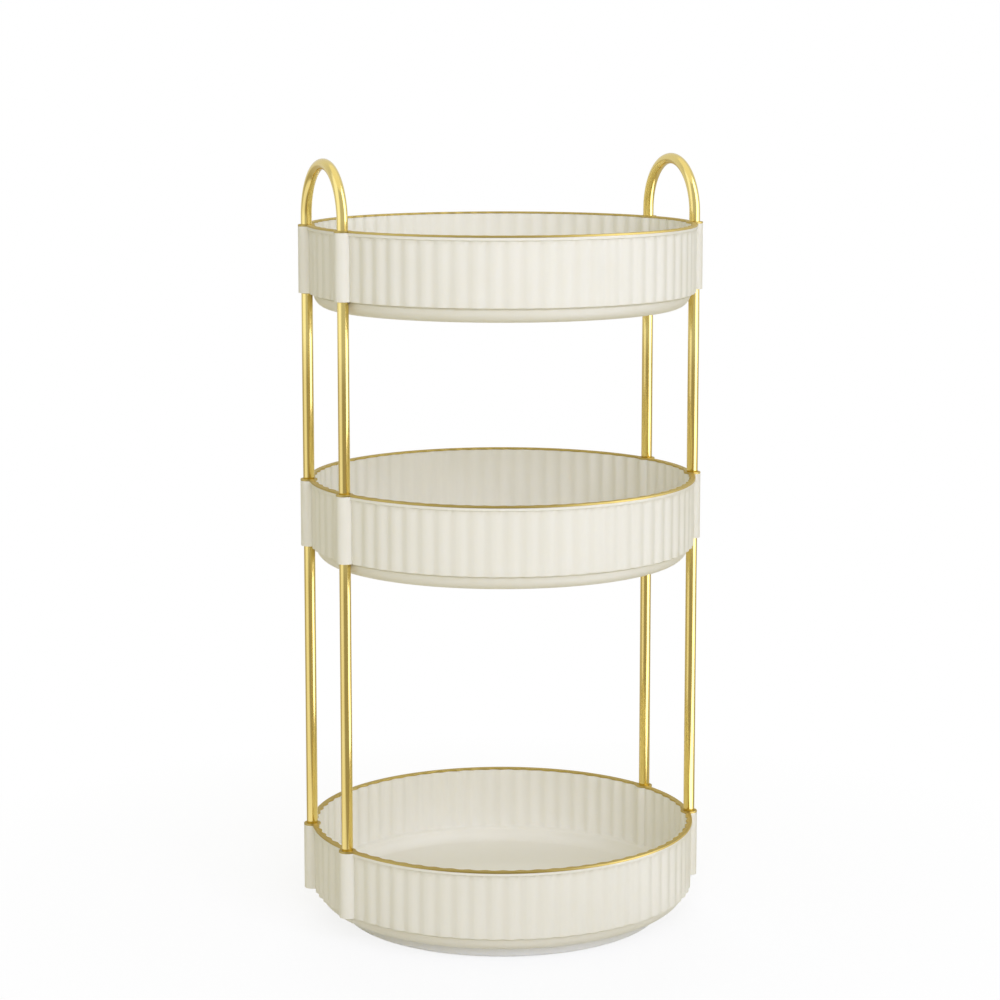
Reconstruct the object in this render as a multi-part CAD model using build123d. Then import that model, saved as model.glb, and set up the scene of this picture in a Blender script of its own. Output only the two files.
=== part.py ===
from build123d import *

import math
import os

# A rotating vanity organizer: three equal round trays with fluted walls, one above the other, on
# four slim metal tubes, with a bent rod handle over each pair of tubes and a turntable underneath.
#
# Millimetres, +Z up. The origin is on the floor, on the axis that the tower turns about.
# The X axis runs through the middles of the two pairs of tubes. Front is -Y and right is +X.

# ---------------------------------------------------------------- driving dimensions

# Tray: one moulding, used three times
rim_radius = 113.0  # outer edge of the smooth ledge and of the gold trim
ledge_height = 1.8
ledge_overhang = 0.6  # from the flute crests out to the ledge
flute_count = 72
flute_depth = 1.2
flute_height = 36.5
wall_thickness = 1.8  # at the bottom of a flute
floor_thickness = 2.2
dish_depth = 8.7
dish_facets = 3  # straight steps in the rounded corner of the dish
boss_radius = 4.85  # socket bosses, centred on the rim circle

# Heights of the tiers, rim to rim
lower_tier_rise = 205.7
upper_tier_rise = 147.4

# Gold trim on each rim
trim_thickness = 1.1
trim_width = 3.2

# Tubes, handles and the tie rods that clamp them together
tube_diameter = 6.5
tube_bore = 4.7
pole_spacing = 62.0  # between the two tubes of a pair
handle_diameter = 6.3
handle_straight = 5.6  # from the top tray's rim up to the start of the bend
handle_facets = 10  # straight steps in the half circle of the handle
rod_diameter = 4.0
rod_grip = 5.0  # length of a tie rod inside the handle
nut_across_flats = 7.0
nut_height = 3.2

# Base and turntable
base_radius = 94.4
base_height = 6.5
base_floor = 1.8
base_wall = 2.2
pad_thickness = 1.0
pad_radius = 7.0
pad_count = 4
pad_circle_radius = 82.0
plate_radius = 86.0
plate_thickness = 1.2
glide_radius = 74.0  # middle of the ring that the plate slides on
glide_width = 5.0
step_height = 0.8  # raised middle of the base floor, which keeps the ring in place
hub_radius = 9.0
recess_depth = 1.3  # round the washer, under the middle of the base
washer_radius = 13.0
washer_thickness = 0.8
screw_radius = 1.5
screw_head_radius = 4.0
screw_head_height = 0.8
screw_length = 5.0
screw_tip_gap = 0.4  # below the end of the screw's hole

# Clearances
tray_gap = 0.9  # between the base's wall and the tray above it
running_gap = 0.1  # sliding faces of the turntable, along the axis
hub_clearance = 0.06  # hub in the base's hole, on the radius
fit_clearance = 0.05  # pieces pushed or screwed together, on the radius
rod_clearance = 0.1  # tie rods in the trays' bosses, on the radius
pocket_clearance = 0.05  # round a nut, on each flat
recess_clearance = 0.5  # round the washer, on the radius
dish_clearance = 0.15  # from a nut pocket in to the dish

# ---------------------------------------------------------------- derived places

groove_radius = rim_radius - ledge_overhang - flute_depth
crest_radius = rim_radius - ledge_overhang
inner_radius = groove_radius - wall_thickness
boss_height = ledge_height + flute_height
tray_depth = boss_height + dish_depth

base_top = pad_thickness + base_height
bottom_rim = base_top + tray_gap + tray_depth
middle_rim = bottom_rim + lower_tier_rise
top_rim = middle_rim + upper_tier_rise

pole_y = pole_spacing / 2
pole_x = math.sqrt(rim_radius**2 - pole_y**2)
tube_radius = tube_diameter / 2
handle_radius = handle_diameter / 2
rod_radius = rod_diameter / 2
bore_radius = tube_bore / 2
pocket_half = nut_across_flats / 2 + pocket_clearance
pocket_depth = nut_height + pocket_clearance
dish_radius = rim_radius - pocket_half - dish_clearance

plate_top = base_top + tray_gap
plate_bottom = plate_top - plate_thickness
floor_top = pad_thickness + base_floor
step_top = floor_top + step_height
glide_inner = glide_radius - glide_width / 2
glide_outer = glide_radius + glide_width / 2
recess_top = pad_thickness + recess_depth
hub_bottom = recess_top - running_gap

CORNERS = {
    "front_left": (-pole_x, -pole_y),
    "back_left": (-pole_x, pole_y),
    "front_right": (pole_x, -pole_y),
    "back_right": (pole_x, pole_y),
}


def polar(radius, degrees):
    """A point of the plan at a radius and an angle from the X axis."""
    return (radius * math.cos(math.radians(degrees)), radius * math.sin(math.radians(degrees)))


def rod(radius, bottom, top, at=(0, 0)):
    """An upright cylinder between two heights."""
    base = Pos(at[0], at[1], bottom)
    return base * Cylinder(radius, top - bottom, align=(Align.CENTER, Align.CENTER, Align.MIN))


def turned(points):
    """A solid turned about Z from (radius, height) points of its section."""
    return revolve(Plane.XZ * make_face(Polyline(*points, close=True)), Axis.Z)


def quarter_round(centre, radius, steps):
    """Points of a rounded outside corner, from its side down to its bottom, as straight steps."""
    turns = [math.pi / 2 * step / steps for step in range(steps + 1)]
    return [(centre[0] + radius * math.cos(a), centre[1] - radius * math.sin(a)) for a in turns]


def all_corners(make):
    """The solids that make(x, y) gives at the four poles."""
    return [make(x, y) for x, y in CORNERS.values()]


# ---------------------------------------------------------------- tray


def flute_outline():
    """The fluted wall's outside: on each flute a crest flat and a groove flat joined by slopes."""
    pitch = 360 / flute_count
    points = []
    for flute in range(flute_count):
        middle = flute * pitch
        points.append(polar(crest_radius, middle - pitch / 8))
        points.append(polar(crest_radius, middle + pitch / 8))
        points.append(polar(groove_radius, middle + pitch * 3 / 8))
        points.append(polar(groove_radius, middle + pitch * 5 / 8))
    return Polyline(*points, close=True)


def nut_pocket(x, y):
    """A hexagon up into a boss from below, one flat facing the middle of the tray."""
    facing = math.degrees(math.atan2(y, x))
    outline = RegularPolygon(pocket_half, 6, major_radius=False, rotation=facing + 30)
    return Pos(x, y, -boss_height) * extrude(outline, pocket_depth)


def tray():
    """A tray with its rim at height 0: ledge, fluted wall, rounded dish and four socket bosses.

    The pocket under each boss takes a tie rod's nut in the bottom tray and the top end of a tube
    in the other two.
    """
    ledge = rod(rim_radius, -ledge_height, 0)
    flutes = Pos(0, 0, -boss_height) * extrude(make_face(flute_outline()), flute_height)
    corner = (dish_radius - dish_depth, -boss_height)
    rounding = quarter_round(corner, dish_depth, dish_facets)
    dish = turned([(0, -boss_height)] + rounding + [(0, -tray_depth)])

    inner_rounding = quarter_round(corner, dish_depth - floor_thickness, 1)
    wall_foot = (inner_radius, floor_thickness - boss_height)
    hollow = turned([(0, 0), (inner_radius, 0), wall_foot] + inner_rounding + [(0, floor_thickness - tray_depth)])

    bosses = all_corners(lambda x, y: rod(boss_radius, -boss_height, 0, (x, y)))
    rod_holes = all_corners(lambda x, y: rod(rod_radius + rod_clearance, -boss_height, 0, (x, y)))
    return ledge + flutes + dish - hollow + bosses - all_corners(nut_pocket) - rod_holes


def rim_trim():
    """The flat gold ring on a tray's rim, with an ear round each socket and a hole for its tube."""
    ring = rod(rim_radius, 0, trim_thickness) - rod(rim_radius - trim_width, 0, trim_thickness)
    ears = all_corners(lambda x, y: rod(boss_radius, 0, trim_thickness, (x, y)))
    holes = all_corners(lambda x, y: rod(tube_radius + fit_clearance, 0, trim_thickness, (x, y)))
    return ring + ears - holes


# ---------------------------------------------------------------- tubes, handles and tie rods


def tube(at, rim_below, rim_above):
    """A metal tube from one tray's rim up into the pocket under the next tray's boss."""
    top = rim_above - boss_height + pocket_depth
    return rod(tube_radius, rim_below, top, at) - rod(bore_radius, rim_below, top, at)


def tie_rod(at):
    """The rod that runs up through the trays and tubes and is screwed into the handle."""
    return rod(rod_radius, bottom_rim - boss_height, top_rim + rod_grip, at)


def tie_rod_nuts():
    """The four nuts in the pockets of the bottom tray, one under each tie rod."""
    low = bottom_rim - boss_height
    nuts = []
    for x, y in CORNERS.values():
        facing = math.degrees(math.atan2(y, x))
        outline = RegularPolygon(nut_across_flats / 2, 6, major_radius=False, rotation=facing + 30)
        hexagon = Pos(x, y, low) * extrude(outline, nut_height)
        nuts.append(hexagon - rod(rod_radius + fit_clearance, low, low + nut_height, (x, y)))
    return nuts


def arch_handle(x):
    """A rod bent into a U over one pair of tubes, bored at both ends for the tie rods."""
    bend_start = top_rim + handle_straight
    circles = []
    for step in range(handle_facets + 1):
        angle = math.pi * step / handle_facets
        centre = (x, -pole_y * math.cos(angle), bend_start + pole_y * math.sin(angle))
        along = (0, math.sin(angle), math.cos(angle))
        circles.append(Plane(centre, x_dir=(1, 0, 0), z_dir=along) * Circle(handle_radius))
    handle = loft(circles, ruled=True)
    for y in (-pole_y, pole_y):
        handle += rod(handle_radius, top_rim, bend_start, (x, y))
        handle -= rod(rod_radius + fit_clearance, top_rim, top_rim + rod_grip, (x, y))
    return handle


# ---------------------------------------------------------------- base and turntable


def pad_places():
    """The plan positions of the foot pads, evenly spaced and clear of the X axis."""
    turn = 360 / pad_count
    return [polar(pad_circle_radius, turn * (index + 0.5)) for index in range(pad_count)]


def base_plate():
    """A shallow round pan with a raised middle, a bearing hole and a recess for the washer."""
    wall_inner = base_radius - base_wall
    step_radius = glide_inner - fit_clearance
    pan = turned(
        [
            (0, pad_thickness),
            (base_radius, pad_thickness),
            (base_radius, base_top),
            (wall_inner, base_top),
            (wall_inner, floor_top),
            (step_radius, floor_top),
            (step_radius, step_top),
            (0, step_top),
        ]
    )
    pan -= rod(hub_radius + hub_clearance, pad_thickness, step_top)
    return pan - rod(washer_radius + recess_clearance, pad_thickness, recess_top)


def turntable_plate():
    """The disc under the bottom tray, with the hub that turns in the base."""
    plate = rod(plate_radius, plate_bottom, plate_top) + rod(hub_radius, hub_bottom, plate_bottom)
    return plate - rod(screw_radius + fit_clearance, hub_bottom, hub_bottom + screw_length)


def pivot_washer():
    """The washer that keeps the hub in the base."""
    low = hub_bottom - washer_thickness
    return rod(washer_radius, low, hub_bottom) - rod(screw_radius + fit_clearance, low, hub_bottom)


def pivot_screw():
    """A flat-headed screw up through the washer into the hub."""
    seat = hub_bottom - washer_thickness
    tip = hub_bottom + screw_length - screw_tip_gap
    return rod(screw_head_radius, seat - screw_head_height, seat) + rod(screw_radius, seat, tip)


def glide_ring():
    """The ring of slippery plastic that the turntable plate slides on."""
    top = plate_bottom - running_gap
    return rod(glide_outer, floor_top, top) - rod(glide_inner, floor_top, top)


# ---------------------------------------------------------------- all the pieces


def build():
    """Every piece in place, by name."""
    pieces = {
        "base_plate": base_plate(),
        "foot_pads": [rod(pad_radius, 0, pad_thickness, place) for place in pad_places()],
        "glide_ring": glide_ring(),
        "turntable_plate": turntable_plate(),
        "pivot_washer": pivot_washer(),
        "pivot_screw": pivot_screw(),
        "tie_rod_nuts": tie_rod_nuts(),
        "left_handle": arch_handle(-pole_x),
        "right_handle": arch_handle(pole_x),
    }
    one_tray = tray()
    one_trim = rim_trim()
    for level, rim in (("bottom", bottom_rim), ("middle", middle_rim), ("top", top_rim)):
        pieces[f"{level}_tray"] = Pos(0, 0, rim) * one_tray
        pieces[f"{level}_rim_trim"] = Pos(0, 0, rim) * one_trim
    for corner, place in CORNERS.items():
        pieces[f"lower_tube_{corner}"] = tube(place, bottom_rim, middle_rim)
        pieces[f"upper_tube_{corner}"] = tube(place, middle_rim, top_rim)
        pieces[f"tie_rod_{corner}"] = tie_rod(place)
    return pieces


os.makedirs("parts", exist_ok=True)
for name, piece in build().items():
    solid = Compound(children=piece) if isinstance(piece, list) else piece
    export_step(solid, f"parts/{name}.step")
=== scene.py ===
"""Looks of a rotating vanity organizer: three fluted trays on gold tubes over a turntable base.

Metres, +Z up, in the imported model's frame. The origin is on the floor, on the axis that the tower
turns about, front is -Y and right is +X. Sizes are given in millimetres and turned into metres
when a mesh is made.
"""

import logging
import math
from dataclasses import dataclass, field
from enum import Enum
from typing import Any, Optional, Sequence, Union

import bpy
import numpy as np
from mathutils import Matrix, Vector


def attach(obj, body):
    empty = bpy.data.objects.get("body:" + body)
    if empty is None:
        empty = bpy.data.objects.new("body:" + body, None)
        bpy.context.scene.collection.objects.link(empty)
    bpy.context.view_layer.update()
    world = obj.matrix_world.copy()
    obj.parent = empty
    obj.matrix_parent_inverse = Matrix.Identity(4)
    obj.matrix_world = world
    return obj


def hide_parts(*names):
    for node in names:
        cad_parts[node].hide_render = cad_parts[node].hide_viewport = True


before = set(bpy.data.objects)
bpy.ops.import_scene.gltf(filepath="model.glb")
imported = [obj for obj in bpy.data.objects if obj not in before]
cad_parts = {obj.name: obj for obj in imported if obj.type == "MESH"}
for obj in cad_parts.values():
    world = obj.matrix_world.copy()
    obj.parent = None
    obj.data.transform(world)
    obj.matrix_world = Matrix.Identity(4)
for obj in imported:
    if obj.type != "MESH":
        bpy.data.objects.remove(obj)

Array = np.ndarray
Colour = tuple[float, float, float]
Pair = tuple[float, float]
Section = Sequence[tuple[float, float, float]]

MM = 0.001
WEAR = "wear"
WHITE: Colour = (1.0, 1.0, 1.0)
SHARP = 40.0
"""The angle in degrees past which an edge is drawn sharp."""
OVER = 1.0
"""How far a cutter passes the surface that it cuts."""
log = logging.getLogger("organizer")


class Body(Enum):
    """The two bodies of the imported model."""

    BASE = "base"
    TOWER = "tower"


class Slot(Enum):
    """The record's material slots."""

    TRAY = "tray_plastic"
    BASE = "base_plastic"
    GLIDE = "glide_plastic"
    GOLD = "gold_metal"
    TRIM = "gold_trim"
    STEEL = "steel"
    RUBBER = "rubber"


class Corner(Enum):
    """The four poles, by the signs of their X and Y."""

    FRONT_LEFT = (-1, -1)
    BACK_LEFT = (-1, 1)
    FRONT_RIGHT = (1, -1)
    BACK_RIGHT = (1, 1)


# ------------------------------------------------------------------ surfaces


@dataclass
class Shell:
    """A closed surface.

    Attributes:
        points: corners in millimetres, one row each.
        squares: faces of four corners, as rows of corner numbers.
        triangles: faces of three corners, as rows of corner numbers.
        wear: how exposed each corner is to rubbing, from 0 to 1.
    """

    points: Array
    squares: Array
    triangles: Array
    wear: Array

    def __add__(self, other: "Shell") -> "Shell":
        """Both shells as one."""
        count = len(self.points)
        return Shell(
            np.concatenate([self.points, other.points]),
            np.concatenate([self.squares, other.squares + count]),
            np.concatenate([self.triangles, other.triangles + count]),
            np.concatenate([self.wear, other.wear]),
        )

    def volume(self) -> float:
        """The space inside, by the divergence theorem: a sixth of the sum of a . (b x c)."""
        fans = [self.triangles, self.squares[:, [0, 1, 2]], self.squares[:, [0, 2, 3]]]
        a, b, c = np.moveaxis(self.points[np.concatenate(fans)], 1, 0)
        return float(np.einsum("ij,ij->", a, np.cross(b, c))) / 6

    def outward(self) -> "Shell":
        """The same shell with its faces turned to point outwards."""
        if self.volume() > 0:
            return self
        return Shell(self.points, self.squares[:, ::-1], self.triangles[:, ::-1], self.wear)


def sum_shells(shells: Sequence[Shell]) -> Shell:
    """Separate shells as one."""
    return sum(shells[1:], shells[0])


def circle(columns: int) -> Array:
    """Even turns once round, in radians."""
    return np.linspace(0, 2 * math.pi, columns, endpoint=False)


def arc(first: float, last: float, count: int) -> Array:
    """Even turns from one to another, given in degrees, as a column of radians."""
    return np.radians(np.linspace(first, last, count))[:, None]


def ringed(radius: Any, height: Any, angles: Array, at: Pair = (0.0, 0.0)) -> Array:
    """Points at (x + r cos a, y + r sin a, z), where columns of r and z give rows of points."""
    x, y = at[0] + radius * np.cos(angles), at[1] + radius * np.sin(angles)
    return np.stack([x, y, np.broadcast_to(height, x.shape)], axis=-1)


def ring_squares(count: int, columns: int) -> Array:
    """Corner numbers of the squares from each ring of a grid to the next, and from the last one
    back to the first: a corner, the next on its ring, and both of their neighbours across.

    Args:
        count: how many rings there are.
        columns: points on each ring.

    Returns:
        The numbers, as rings by columns by 4.
    """
    index = np.arange(count * columns).reshape(count, columns)
    onward = np.roll(index, -1, axis=1)
    across = [np.roll(onward, -1, axis=0), np.roll(index, -1, axis=0)]
    return np.stack([index, onward, *across], axis=-1)


def lattice(
    rows: Array, poles: Optional[Sequence[Sequence[float]]] = None, wear: Optional[Array] = None
) -> Shell:
    """A closed shell through rows of points, where each row is a ring.

    Neighbours along a row and neighbours across rows are joined by squares. The last point of a
    row is joined to its first. Without poles the last row is joined to the first row too. With
    poles the first and the last row are closed by triangles to a point.

    Args:
        rows: points as an array of rows by columns by 3.
        poles: the points that close the first and the last row.
        wear: one wear value for each row.

    Returns:
        The shell, with its faces pointing outwards.
    """
    count, columns = rows.shape[:2]
    squares, triangles = ring_squares(count, columns), np.zeros((0, 3), int)
    points = rows.reshape(-1, 3)
    values = np.zeros(count) if wear is None else np.asarray(wear, float)
    rubbed = np.repeat(values, columns)
    if poles is not None:
        first, last = squares[0], squares[-1]
        low = np.column_stack([np.full(columns, len(points)), first[:, 1], first[:, 0]])
        high = np.column_stack([np.full(columns, len(points) + 1), last[:, 0], last[:, 1]])
        triangles, squares = np.concatenate([low, high]), squares[:-1]
        points = np.concatenate([points, np.asarray(poles, float)])
        rubbed = np.concatenate([rubbed, values[[0, -1]]])
    return Shell(points, squares.reshape(-1, 4), triangles, rubbed).outward()


def smooth(share: Array) -> Array:
    """An S-curve from 0 to 1, level at both ends: three times the square less twice the cube."""
    return share * share * (3 - 2 * share)


def soft_max(a: Array, b: Array, reach: float) -> Array:
    """The larger of two values, blended where they differ by less than reach: the mix of both by
    their share h of the difference, plus reach times h times (1 - h)."""
    share = np.clip(0.5 + 0.5 * (a - b) / reach, 0, 1)
    return b + (a - b) * share + reach * share * (1 - share)


def soft_min(a: Array, b: Array, reach: float) -> Array:
    """The smaller of two values, blended where they differ by less than reach."""
    return -soft_max(-a, -b, reach)


def rounded(corners: Section, closed: bool, steps: int) -> tuple[Array, Array]:
    """An outline of straight runs with rounded corners.

    At a corner with fillet f and the angle w between its runs, the arc starts and ends f / tan(w/2)
    from the corner, and its centre is f / sin(w/2) along the middle direction. Points on the arc
    swing evenly from its start to its end about that centre.

    Args:
        corners: radius, height and fillet of each corner, in order.
        closed: whether the last corner is joined to the first.
        steps: straight steps in each fillet.

    Returns:
        The points as rows of radius and height, and a wear value for each: 1 on a fillet.
    """
    places = np.array([corner[:2] for corner in corners], float)
    points, wear = [], []
    for number, (place, corner) in enumerate(zip(places, corners)):
        fillet = corner[2]
        if fillet == 0 or (not closed and number in (0, len(corners) - 1)):
            points.append(place[None])
            wear.append(np.zeros(1))
            continue
        back = places[number - 1] - place
        on = places[(number + 1) % len(corners)] - place
        back, on = back / np.linalg.norm(back), on / np.linalg.norm(on)
        half = math.acos(float(np.clip(back @ on, -1, 1))) / 2
        centre = place + (back + on) / np.linalg.norm(back + on) * fillet / math.sin(half)
        start = place + back * fillet / math.tan(half) - centre
        end = place + on * fillet / math.tan(half) - centre
        swing = math.pi - 2 * half
        share = np.linspace(0, 1, steps + 1)[:, None]
        swept = np.sin((1 - share) * swing) * start + np.sin(share * swing) * end
        points.append(centre + swept / math.sin(swing))
        wear.append(np.ones(steps + 1))
    return np.concatenate(points), np.concatenate(wear)


def turned(corners: Section, columns: int, at: Pair = (0.0, 0.0), steps: int = 5) -> Shell:
    """A section of rounded corners turned about an upright axis.

    The point at radius r, height z and turn a is (x + r cos a, y + r sin a, z). A section that
    starts and ends on the axis is closed by poles there, and any other section is a closed ring.

    Args:
        corners: radius, height and fillet of the section's corners.
        columns: points round the turn.
        at: the axis's place in the plan.
        steps: straight steps in each fillet.

    Returns:
        The shell.
    """
    on_axis = corners[0][0] == 0
    outline, wear = rounded(corners, not on_axis, steps)
    rows = ringed(outline[:, :1], outline[:, 1:], circle(columns), at)
    if not on_axis:
        return lattice(rows, wear=wear)
    return lattice(rows[1:-1], [(*at, outline[0, 1]), (*at, outline[-1, 1])], wear[1:-1])


def pin(radius: float, low: float, high: float, columns: int, at: Pair) -> Shell:
    """A plain upright cylinder between two heights, for cutting a hole."""
    return turned([(0, low, 0), (radius, low, 0), (radius, high, 0), (0, high, 0)], columns, at)


def prism(radius: Array, angle: Array, low: float, high: float, at: Pair) -> Shell:
    """An upright prism between two heights on an outline of radius and angle about a place."""
    rows = ringed(np.tile(radius, (2, 1)), np.array([[low], [high]]), angle, at)
    return lattice(rows, [(*at, low), (*at, high)])


def nut_outline(half: float, facing: float, columns: int) -> tuple[Array, Array]:
    """A hexagon with a flat facing a direction: its radius is half the distance across its flats
    over the cosine of the angle from the nearest flat's middle.

    Args:
        half: half the distance across flats.
        facing: direction of one flat, in radians.
        columns: points round it, six or a multiple of it.

    Returns:
        Radius and angle of each point, starting on a corner.
    """
    sixth = math.pi / 3
    angle = facing + sixth / 2 + circle(columns)
    off = np.mod(angle - facing + sixth / 2, sixth) - sixth / 2
    return half / np.cos(off), angle


def link(name: str, data: bpy.types.ID) -> bpy.types.Object:
    """A new object in the scene, at the origin."""
    thing = bpy.data.objects.new(name, data)
    bpy.context.scene.collection.objects.link(thing)
    return thing


def as_object(name: str, shell: Shell, sharp: float = SHARP) -> bpy.types.Object:
    """An object of a shell, in metres, smooth except over edges sharper than an angle.

    Args:
        name: the name of the object and of its mesh.
        shell: the surface, in millimetres.
        sharp: the angle in degrees past which an edge stays sharp.

    Returns:
        The object, whose mesh has the shell's wear as a point attribute.
    """
    mesh = bpy.data.meshes.new(name)
    corners = np.concatenate([shell.squares.ravel(), shell.triangles.ravel()])
    sizes = np.repeat([4, 3], [len(shell.squares), len(shell.triangles)])
    mesh.vertices.add(len(shell.points))
    mesh.vertices.foreach_set("co", (shell.points * MM).astype(np.float32).ravel())
    mesh.loops.add(len(corners))
    mesh.loops.foreach_set("vertex_index", corners.astype(np.int32))
    mesh.polygons.add(len(sizes))
    mesh.polygons.foreach_set("loop_start", (np.cumsum(sizes) - sizes).astype(np.int32))
    mesh.update(calc_edges=True)
    mesh.shade_smooth()
    mesh.set_sharp_from_angle(angle=math.radians(sharp))
    attribute = mesh.attributes.new(WEAR, "FLOAT", "POINT")
    attribute.data.foreach_set("value", shell.wear.astype(np.float32))
    return link(name, mesh)


def cut(piece: bpy.types.Object, tool: Shell) -> None:
    """Takes a tool's shape out of a piece for good.

    Args:
        piece: the object to cut.
        tool: the shape that is taken away, in millimetres.
    """
    cutter = as_object(piece.name + "_cutter", tool)
    modifier = piece.modifiers.new("cut", "BOOLEAN")
    modifier.operation, modifier.object, modifier.solver = "DIFFERENCE", cutter, "MANIFOLD"
    depsgraph = bpy.context.evaluated_depsgraph_get()
    result = bpy.data.meshes.new_from_object(piece.evaluated_get(depsgraph))
    piece.modifiers.clear()
    old, piece.data = piece.data, result
    result.set_sharp_from_angle(angle=math.radians(SHARP))
    bpy.data.meshes.remove(old)
    bpy.data.meshes.remove(cutter.data)


# ------------------------------------------------------------------ shader tools


@dataclass(frozen=True)
class Signal:
    """A socket of numbers in a node tree. Arithmetic on it adds Math nodes."""

    tree: "Tree"
    socket: bpy.types.NodeSocket

    def math(self, operation: str, *others: Any, clamp: bool = False) -> "Signal":
        """A Math node on this value and others.

        Args:
            operation: the Math node's operation.
            others: the further inputs, as signals or numbers.
            clamp: whether the result is kept from 0 to 1.

        Returns:
            The result.
        """
        settings = {"operation": operation, "use_clamp": clamp}
        node = self.tree.node("ShaderNodeMath", settings, dict(enumerate((self, *others))))
        return Signal(self.tree, node.outputs[0])

    def __add__(self, other: Any) -> "Signal":
        """The sum."""
        return self.math("ADD", other)

    __radd__ = __add__

    def __mul__(self, other: Any) -> "Signal":
        """The product."""
        return self.math("MULTIPLY", other)

    __rmul__ = __mul__

    def __sub__(self, other: Any) -> "Signal":
        """The difference."""
        return self.math("SUBTRACT", other)

    def __rsub__(self, other: Any) -> "Signal":
        """The difference, from a number."""
        return (self * -1.0).math("ADD", other)

    def __pow__(self, other: Any) -> "Signal":
        """The power."""
        return self.math("POWER", other)

    def between(self, low: float, high: float) -> "Signal":
        """0 below low, 1 above high, and even between them."""
        return ((self - low) * (1 / (high - low))).math("ADD", 0.0, clamp=True)


class Tree:
    """The node tree of a material or world, to which nodes are added in one way."""

    def __init__(self, owner: Union[bpy.types.Material, bpy.types.World]) -> None:
        """Empties the owner's tree."""
        owner.use_nodes = True
        self.owner, self.nodes, self.links = owner, owner.node_tree.nodes, owner.node_tree.links
        self.nodes.clear()

    def node(
        self,
        kind: str,
        settings: Optional[dict[str, Any]] = None,
        inputs: Optional[dict[Union[str, int], Any]] = None,
    ) -> bpy.types.Node:
        """Adds a node, sets its settings and then feeds its sockets.

        Args:
            kind: the node's type.
            settings: its own settings.
            inputs: what goes in each socket, by its identifier, name or number: a signal, a
                socket, a number or a colour.

        Returns:
            The node.
        """
        node = self.nodes.new(kind)
        for name, value in (settings or {}).items():
            setattr(node, name, value)
        for name, value in (inputs or {}).items():
            socket = node.inputs[name] if isinstance(name, int) else self.socket(node, name)
            source = value.socket if isinstance(value, Signal) else value
            if isinstance(source, bpy.types.NodeSocket):
                self.links.new(source, socket)
            else:
                socket.default_value = (*value, 1.0) if socket.type == "RGBA" else value
        return node

    @staticmethod
    def socket(node: bpy.types.Node, name: str) -> bpy.types.NodeSocket:
        """A node's enabled input with that identifier or name."""
        return next(s for s in node.inputs if s.enabled and name in (s.identifier, s.name))

    def place(self, stretch: Colour = (1.0, 1.0, 1.0)) -> bpy.types.NodeSocket:
        """Object coordinates, stretched by a factor along each axis."""
        inputs = {"Vector": self.node("ShaderNodeTexCoord").outputs["Object"], "Scale": stretch}
        return self.node("ShaderNodeMapping", {"vector_type": "POINT"}, inputs).outputs[0]

    def axes(self) -> list[Signal]:
        """Object coordinates as three numbers."""
        parts = self.node("ShaderNodeSeparateXYZ", None, {"Vector": self.place()}).outputs
        return [Signal(self, part) for part in parts]

    def noise(self, size: float, detail: float, stretch: Colour = (1.0, 1.0, 1.0)) -> Signal:
        """Even noise about 0.5.

        Args:
            size: the size of its blotches in millimetres.
            detail: how many finer layers it has.
            stretch: factors on the coordinates, where less than 1 draws the blotches out.

        Returns:
            The noise's value.
        """
        inputs = {"Vector": self.place(stretch), "Scale": 1 / (size * MM), "Detail": detail}
        node = self.node("ShaderNodeTexNoise", {"noise_dimensions": "3D"}, inputs)
        return Signal(self, node.outputs[0])

    def worn(self) -> Signal:
        """The piece's wear attribute."""
        settings = {"attribute_type": "GEOMETRY", "attribute_name": WEAR}
        return Signal(self, self.node("ShaderNodeAttribute", settings).outputs["Fac"])

    def blend(
        self, share: Signal, first: Any, second: Any, mode: str = "MIX"
    ) -> bpy.types.NodeSocket:
        """A colour between two, or a share of the second added to the first.

        Args:
            share: how much of the second there is.
            first: the colour at a share of 0.
            second: the colour at a share of 1, or the one that is added.
            mode: the Mix node's way of blending, MIX or ADD.

        Returns:
            The colour.
        """
        inputs = {"Factor_Float": share, "A_Color": first, "B_Color": second}
        node = self.node("ShaderNodeMix", {"data_type": "RGBA", "blend_type": mode}, inputs)
        return next(s for s in node.outputs if s.identifier == "Result_Color")

    def relief(
        self, height: Signal, depth: float, over: Optional[bpy.types.NodeSocket] = None
    ) -> bpy.types.NodeSocket:
        """A normal bumped by a height.

        Args:
            height: the height, from 0 to 1.
            depth: what a height of 1 stands for, in millimetres.
            over: the normal that is bumped, or none for the surface's own.

        Returns:
            The normal.
        """
        inputs = {"Strength": 1.0, "Distance": depth * MM, "Height": height}
        if over is not None:
            inputs["Normal"] = over
        return self.node("ShaderNodeBump", None, inputs).outputs[0]

    def end(self, shader: bpy.types.Node, kind: str = "Material") -> Any:
        """Ends the tree with a shader, and gives the material or world."""
        self.node(f"ShaderNodeOutput{kind}", None, {"Surface": shader.outputs[0]})
        return self.owner


# ------------------------------------------------------------------ finishes


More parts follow.
